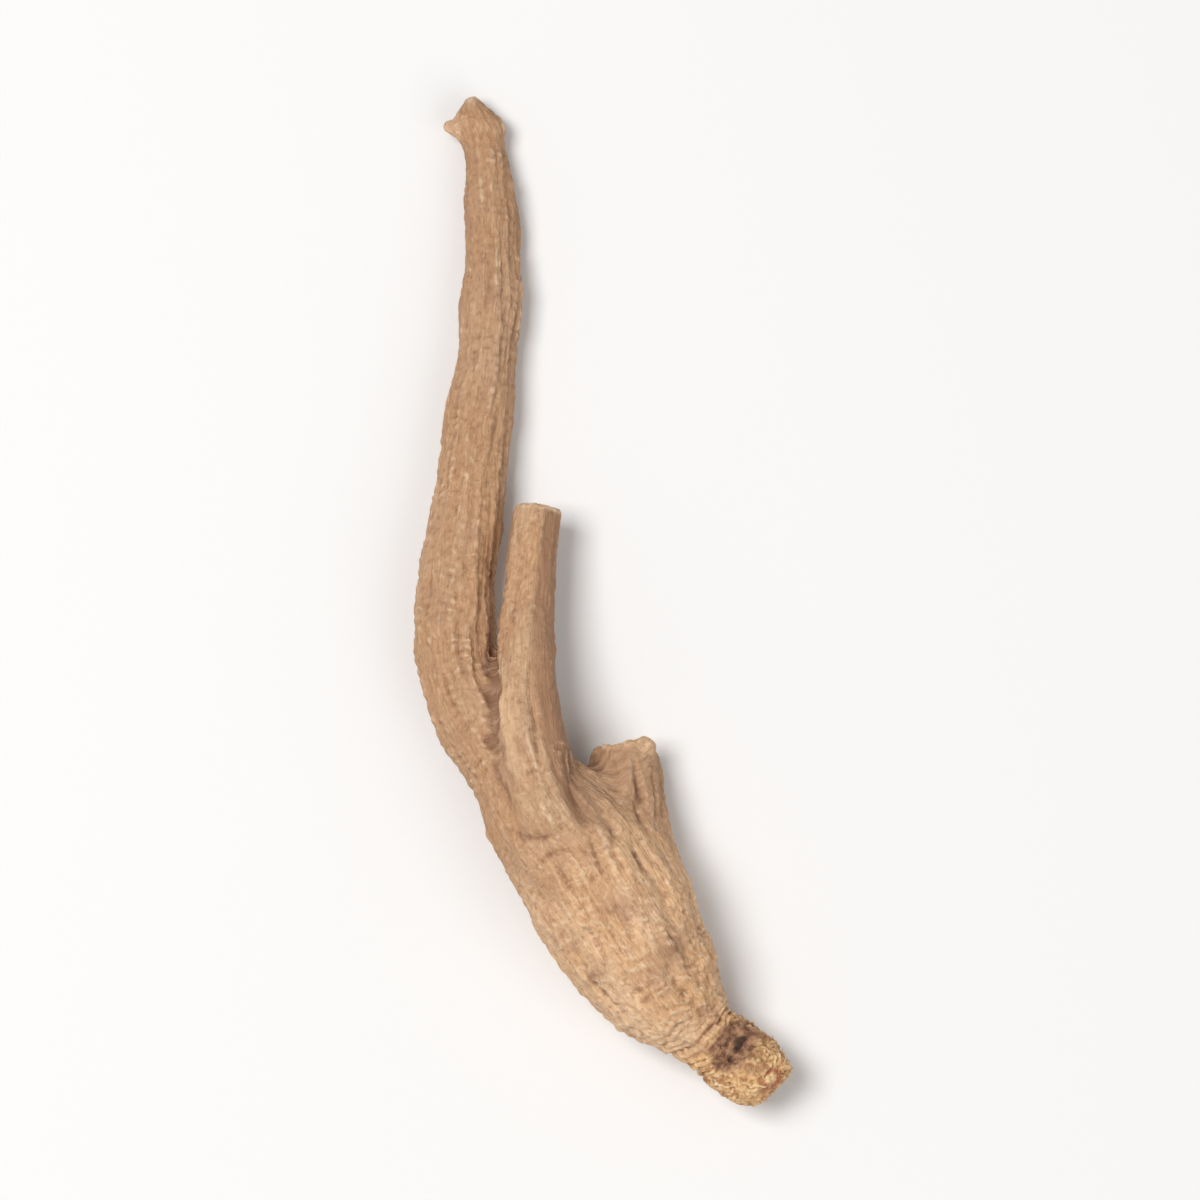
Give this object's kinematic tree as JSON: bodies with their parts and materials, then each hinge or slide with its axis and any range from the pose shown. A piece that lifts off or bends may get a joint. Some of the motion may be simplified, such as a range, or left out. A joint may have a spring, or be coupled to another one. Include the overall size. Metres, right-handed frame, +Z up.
{
  "type": "ginseng root",
  "caption": "Dried ginseng root lying flat: a furrowed spindle body with a scarred crown and a ringed shoulder, forking into a long leg, a slim leg grown against it and a broken stub.",
  "frame": {"origin": "middle of the flat spot under the body, on the surface that the root lies on", "axes": "+Z up, away from that surface; +Y along the root's length, from the crown towards the long leg's tip"},
  "size_m": [0.0372, 0.1006, 0.0142],
  "materials": {
    "root_skin": "dry matt tan skin, furrowed lengthwise, darker in the furrows and on the crown"
  },
  "bodies": {
    "root": {"ginseng_root": "root_skin"}
  },
  "joints": []
}
